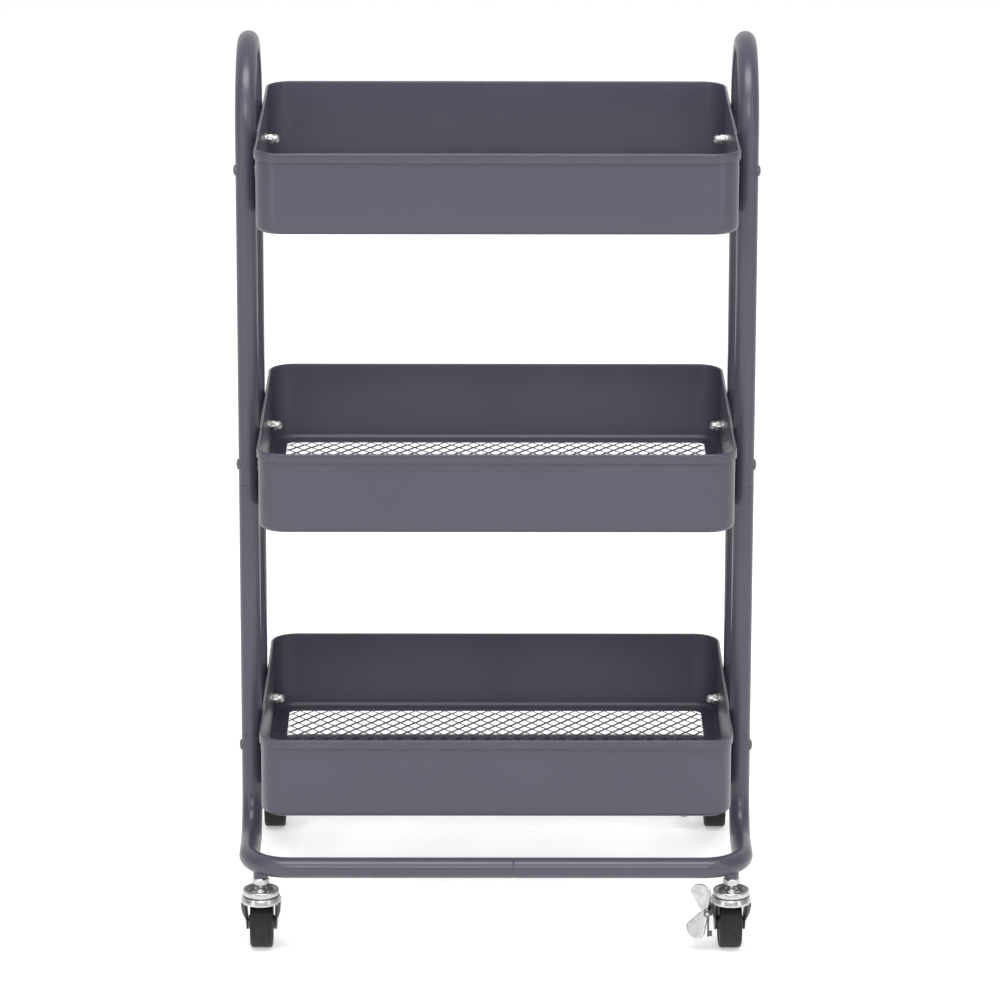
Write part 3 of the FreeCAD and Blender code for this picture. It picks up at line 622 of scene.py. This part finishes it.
def arc_x(points, z):
    """Distance out at height z on the arc through three (x, z) points, straight below it."""
    top, middle, low = (Vector(point) for point in points)
    if z <= low.y:
        return low.x
    centre = circle_through(top, middle, low)
    radius = (top - centre).length
    reach = math.sqrt(max(0.0, radius ** 2 - (z - centre.y) ** 2))
    return centre.x + (reach if middle.x > centre.x else -reach)


FORK_OUTER = ((17.2, 45.6), (16.5, 36.5), (13.4, 26.0))
FORK_INNER = ((12.4, 45.6), (12.2, 36.5), (11.7, 26.0))
FORK_TOP_Z = 45.6
FORK_EYE_Y, FORK_EYE_Z, FORK_END_R = 13.0, 22.0, 6.5
FORK_CROWN_Z, FORK_CROWN_FRONT, FORK_CROWN_BACK = 47.2, -9.5, 12.5


def fork_edges(z):
    """Front and back edge of a fork leg at height z."""
    if z < FORK_EYE_Z:
        reach = math.sqrt(max(0.0, FORK_END_R ** 2 - (FORK_EYE_Z - z) ** 2))
        return FORK_EYE_Y - reach, FORK_EYE_Y + reach
    t = (z - FORK_EYE_Z) / (FORK_CROWN_Z - FORK_EYE_Z)
    front, back = FORK_EYE_Y - FORK_END_R, FORK_EYE_Y + FORK_END_R
    return front + t * (FORK_CROWN_FRONT - front), back + t * (FORK_CROWN_BACK - back)


def make_fork(name):
    """Black fork: a crown disc and two legs with rolled edges that draw in to the axle."""
    matrix = caster_matrix(name)
    mesh = bmesh.new()
    crown = [(4.05, 46.2), (14.4, 46.2), (14.6, 46.4), (14.6, 49.0), (14.4, 49.2), (4.05, 49.2)]
    lathe(mesh, in_mm(crown), matrix, 64, True)
    heights = [15.52 + 0.5 * step for step in range(4)] + [18.0 + 1.2 * step for step in range(24)]
    heights = [z for z in heights if z < FORK_TOP_Z] + [FORK_TOP_Z]
    for sx in (-1, 1):
        rings = []
        for z in heights:
            outer, inner = arc_x(FORK_OUTER, z), arc_x(FORK_INNER, z)
            front, back = fork_edges(z)
            inset = min(0.9, (outer - inner) * 0.45, (back - front) * 0.2)
            section = [(inner + inset, front), (outer - inset, front), (outer, front + inset)]
            section += [(outer, front + (back - front) * t) for t in (0.3, 0.5, 0.7)]
            section += [(outer, back - inset), (outer - inset, back), (inner + inset, back)]
            section += [(inner, back - inset), (inner, front + inset)]
            rings.append([mesh.verts.new(matrix @ (Vector((sx * x, y, z)) * MM)) for x, y in section])
        skin(mesh, rings, False, True)
        mesh.faces.new(rings[0])
        mesh.faces.new(rings[-1])
    piece = finish_mesh("fork_shell_" + name, mesh, "black_fork", "swivel_" + name, 44)
    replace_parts(piece, "fork_" + name)


def make_axle(name):
    """Axle with both ends riveted over."""
    half = 14.3
    profile = [(0.0, -half), (1.6, -half + 0.1), (2.6, -half + 0.35), (3.0, -half + 0.8)]
    profile += [(r, -h) for r, h in reversed(profile)]
    mesh = bmesh.new()
    lathe(mesh, in_mm(profile), axle_matrix(name), 40)
    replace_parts(finish_mesh("axle_rivet_" + name, mesh, "zinc_plate", "swivel_" + name, 40), "axle_" + name)


def make_hub(name):
    """Hub: bosses toward the fork legs, dished webs with a raised ring, rim under the tyre."""
    side = [(3.05, 11.0), (3.4, 11.3), (5.8, 11.3), (6.2, 10.9), (6.3, 8.4), (7.0, 7.7), (8.6, 7.55)]
    side += [(9.0, 7.9), (9.9, 7.9), (10.3, 7.55), (13.2, 7.6), (14.4, 8.0)]
    side += [(15.3, 8.75), (16.2, 8.95), (17.0, 8.95)]
    profile = [(r, -h) for r, h in side] + list(reversed(side))
    mesh = bmesh.new()
    lathe(mesh, in_mm(profile), axle_matrix(name), 72, True)
    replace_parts(finish_mesh("wheel_hub_" + name, mesh, "hub_plastic", "wheel_" + name, 38), "hub_" + name)


def make_tyre(name):
    """Tyre: round shoulders, a shallow groove by each and a parting line round the middle."""
    half, shoulder, tread = TYRE_W / 2 / MM, 2.6, 22.0
    side = [(17.0, half), (17.6, half), (18.1, half - 0.15), (18.6, half)]
    for step in range(9):
        angle = math.pi / 2 * step / 8
        radius = tread - shoulder + shoulder * math.sin(angle)
        side.append((radius, half - shoulder + shoulder * math.cos(angle)))
    side += [(tread, half - shoulder - 0.5), (21.8, half - shoulder - 0.75)]
    side += [(21.8, half - shoulder - 1.0), (tread, half - shoulder - 1.25)]
    side += [(tread, 2.0), (tread, 0.2), (21.93, 0.06)]
    profile = side + [(r, -h) for r, h in reversed(side)]
    mesh = bmesh.new()
    lathe(mesh, in_mm(profile), axle_matrix(name), 128, True)
    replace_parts(finish_mesh("tyre_band_" + name, mesh, "tyre_rubber", "wheel_" + name, 38), "tyre_" + name)


# ---- Brakes --------------------------------------------------------------------------------
PIVOT = Vector((-21.2, 0.0, 37.0))
LEVER_TURN = math.radians(35)
LEVER_T = 1.6
LOBES = {1: (10.0, 17.0, 9.0, 12), -1: (9.5, 18.5, 7.6, 28)}    # up or down: radius, reach, tip, lean
NECK_HALF, NECK_FOOT, NECK_END = 3.6, -1.0, 1.5
SPINE_START = 3.0


def lobe_outline(radius, reach, tip):
    """Half-round pedal on a neck, anticlockwise, in the plate's own plane."""
    points = [(-NECK_HALF, NECK_FOOT), (NECK_HALF, NECK_FOOT), (NECK_HALF, NECK_END)]
    flare = [step / 8 for step in range(1, 8)]
    for t in flare:
        points.append((NECK_HALF + (radius - NECK_HALF) * t, NECK_END + (reach - NECK_END) * t))
    for step in range(25):
        angle = math.pi * step / 24
        points.append((radius * math.cos(angle), reach + tip * math.sin(angle)))
    for t in reversed(flare):
        points.append((-NECK_HALF - (radius - NECK_HALF) * t, NECK_END + (reach - NECK_END) * t))
    points.append((-NECK_HALF, NECK_END))
    return points


def make_lever(name):
    """Plated rocker: hinge barrel and two dished pedals with rounded edges."""
    matrix = caster_matrix(name) @ Matrix.Scale(MM, 4)
    mesh = bmesh.new()
    hinge = Matrix.Translation(PIVOT) @ Matrix.Rotation(math.pi / 2, 4, "X")
    barrel = [(1.6, -5.9), (2.7, -6.0), (3.0, -5.7), (3.0, 5.7), (2.7, 6.0), (1.6, 5.9)]
    lathe(mesh, barrel, matrix @ hinge, 48, True)
    for up, (radius, reach, tip, lean) in LOBES.items():
        turn = Matrix.Translation(PIVOT - Vector((LEVER_T / 2, 0, 0)))
        turn = turn @ Matrix.Rotation(math.radians(-up * lean), 4, "Y") @ Matrix.Rotation(-LEVER_TURN, 4, "Z")
        turn = matrix @ turn @ Matrix.Rotation(math.pi / 2 * up, 4, "X")
        outline = lobe_outline(radius, reach, tip)
        shells = [(0.0, 0.45, 0), (0.35, 0.05, 0), (0.7, 0.0, 0), (1.3, 0.05, 0), (2.2, 0.35, 0)]
        shells += [(3.4, 0.45, inward) for inward in (0, 0.4, 0.75, 1.0)]
        rings = []
        for face in (1, -1):
            for inset, sink, inward in reversed(shells) if face > 0 else shells:
                ring = []
                for x, y in outline:
                    flat = Vector((x, y))
                    wide = min(1.0, max(0.0, (y - SPINE_START) / (reach - SPINE_START)))
                    toward = Vector((0, max(SPINE_START, min(y, reach)))) - flat
                    edge = min(inset, toward.length * 0.7)
                    edge += (toward.length - edge) * inward
                    point = flat + toward.normalized() * edge
                    dish = sink if inset < 1.0 else sink * wide
                    level = LEVER_T - dish if face > 0 else (sink if inset < 1.0 else 0.0)
                    ring.append(mesh.verts.new(turn @ Vector((point.x, point.y, level))))
                rings.append(ring)
        skin(mesh, rings, False, True)
    piece = finish_mesh("rocker_pedals_" + name, mesh, "zinc_plate", "brake_" + name, 40)
    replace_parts(piece, "brake_lever_" + name)


# ---- Tray fasteners ------------------------------------------------------------------------
BOLT_TIP_X = 193.6 * MM
NUT_SEAT_X = 201.6 * MM
NUT_FLATS = 8 * MM


def fastener_matrices(distance, outward):
    """One matrix per tray bolt: at a distance out from the middle, its Z axis along the bolt."""
    for tray in TRAYS:
        for side in SIDES.values():
            for end in ENDS.values():
                place = Vector((side * distance, end * LEG_Y, TRAY_RIM[tray] - BOLT_DROP))
                turn = math.pi / 2 * side * (1 if outward else -1)
                yield Matrix.Translation(place) @ Matrix.Rotation(turn, 4, "Y")


def make_bolts():
    """Round heads with a turned recess, on plain shanks."""
    profile = [(0, 0), (2.0, 0), (2.5, 0.5), (2.5, 29.9), (4.55, 29.9), (4.8, 30.1), (4.72, 30.4)]
    profile += [(4.3, 30.8), (3.6, 31.25), (2.7, 31.62), (1.75, 31.84), (1.5, 31.7), (1.4, 31.0), (0, 31.0)]
    mesh = bmesh.new()
    for matrix in fastener_matrices(BOLT_TIP_X, True):
        lathe(mesh, in_mm(profile), matrix, 40)
    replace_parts(finish_mesh("tray_bolt_heads", mesh, "dark_steel", "root", 40), "tray_bolts")


def make_cap_nuts():
    """Plated cap nuts inside the trays."""
    rows = [(0.0, 3.9), (0.4, 4.45), (2.0, 4.62), (4.3, 4.6), (5.0, 4.1), (5.3, 3.75), (5.8, 3.68)]
    for step in range(8):
        angle = math.pi / 2 * step / 8
        rows.append((7.5 + 3.7 * math.sin(angle), 3.7 * math.cos(angle)))
    mesh = bmesh.new()
    for matrix in fastener_matrices(NUT_SEAT_X, False):
        nut_rings(mesh, NUT_FLATS, in_mm(rows), matrix)
    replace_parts(finish_mesh("tray_cap_nuts", mesh, "zinc_plate", "root", 28), "tray_nuts")


# ---- Stage, lights and camera --------------------------------------------------------------
def make_stage():
    """Pale floor that curves up into a backdrop far behind."""
    reach, start, radius, top = 30.0, 6.0, 2.0, 20.0
    mesh = bmesh.new()
    profile = [(-reach, 0.0), (start, 0.0)]
    for step in range(1, 13):
        angle = math.pi / 2 * step / 12
        profile.append((start + radius * math.sin(angle), radius - radius * math.cos(angle)))
    profile.append((start + radius, top))
    columns = [[mesh.verts.new((x, y, z)) for y, z in profile] for x in (-reach, reach)]
    skin(mesh, columns, False, False)
    bmesh.ops.recalc_face_normals(mesh, faces=mesh.faces)
    for face in mesh.faces:
        face.smooth = True
    data = bpy.data.meshes.new("studio_floor")
    mesh.to_mesh(data)
    mesh.free()
    m = Nodes("studio_white")
    m.link(m.ramp(m.noise(0.7, 2), (0.90, 0.90, 0.90), (0.93, 0.93, 0.93)), "Base Color")
    m.set(Roughness=0.7, Emission_Color=(1, 1, 1, 1), Emission_Strength=0.3)
    data.materials.append(m.material)
    floor = bpy.data.objects.new("studio_floor", data)
    bpy.context.scene.collection.objects.link(floor)


def area_light(name, place, aim, size, watts, tint=(1, 1, 1)):
    light = bpy.data.lights.new(name, "AREA")
    light.shape = "RECTANGLE"
    light.size, light.size_y = size
    light.energy = watts
    light.color = tint
    lamp = bpy.data.objects.new(name, light)
    lamp.location = place
    lamp.rotation_euler = (Vector(aim) - Vector(place)).to_track_quat("-Z", "Y").to_euler()
    bpy.context.scene.collection.objects.link(lamp)


def make_lights():
    world = bpy.data.worlds.new("studio")
    world.use_nodes = True
    world.node_tree.nodes["Background"].inputs["Color"].default_value = (1, 1, 1, 1)
    world.node_tree.nodes["Background"].inputs["Strength"].default_value = 0.42
    bpy.context.scene.world = world
    area_light("overhead_softbox", (0, -1.2, 3.4), (0, 0, 0.4), (3.0, 1.4), 110)
    area_light("front_softbox", (0, -4.4, 2.6), (0, 0, 0.4), (3.0, 1.4), 90)
    area_light("left_strip", (-2.2, -2.2, 1.2), (0, 0, 0.4), (0.3, 2.2), 14)
    area_light("right_strip", (2.2, -2.2, 1.2), (0, 0, 0.4), (0.3, 2.2), 14)


# Fitted to edges measured on the photograph, with no shift. Metres, radians and lens mm.
CAMERA_PLACE = Vector((-0.016, -4.6234, 1.6315))
CAMERA_PITCH = 0.268
CAMERA_YAW = 0.0042
CAMERA_ROLL = 0.002
CAMERA_LENS = 195.8


def make_camera():
    data = bpy.data.cameras.new("camera")
    data.lens = CAMERA_LENS
    data.sensor_width = 36.0
    data.clip_end = 60.0
    camera = bpy.data.objects.new("camera", data)
    turn = Matrix.Rotation(-CAMERA_YAW, 4, "Z") @ Matrix.Rotation(math.pi / 2 - CAMERA_PITCH, 4, "X")
    turn = turn @ Matrix.Rotation(CAMERA_ROLL, 4, "Z")
    camera.matrix_world = Matrix.Translation(CAMERA_PLACE) @ turn
    bpy.context.scene.collection.objects.link(camera)
    bpy.context.scene.camera = camera


for side in SIDES:
    make_hoop(side)
    for end in ENDS:
        make_leg(side, end)
        make_base(side, end)
for tray in TRAYS:
    make_tray(tray)
    make_mesh_floor(tray)
make_bolts()
make_cap_nuts()
make_stems()
make_locknuts()
make_sockets()
for caster in CASTERS:
    make_ring(caster)
    make_fork(caster)
    make_axle(caster)
    make_hub(caster)
    make_tyre(caster)
for caster in BRAKED:
    make_lever(caster)
for entry in frame["record"]["subparts"]:
    node = frame["nodes"][entry["node"]]
    node.data.materials.clear()
    node.data.materials.append(FINISH[entry["material_slot"]])
make_stage()
make_lights()
make_camera()
bpy.context.scene.view_settings.view_transform = "Standard"
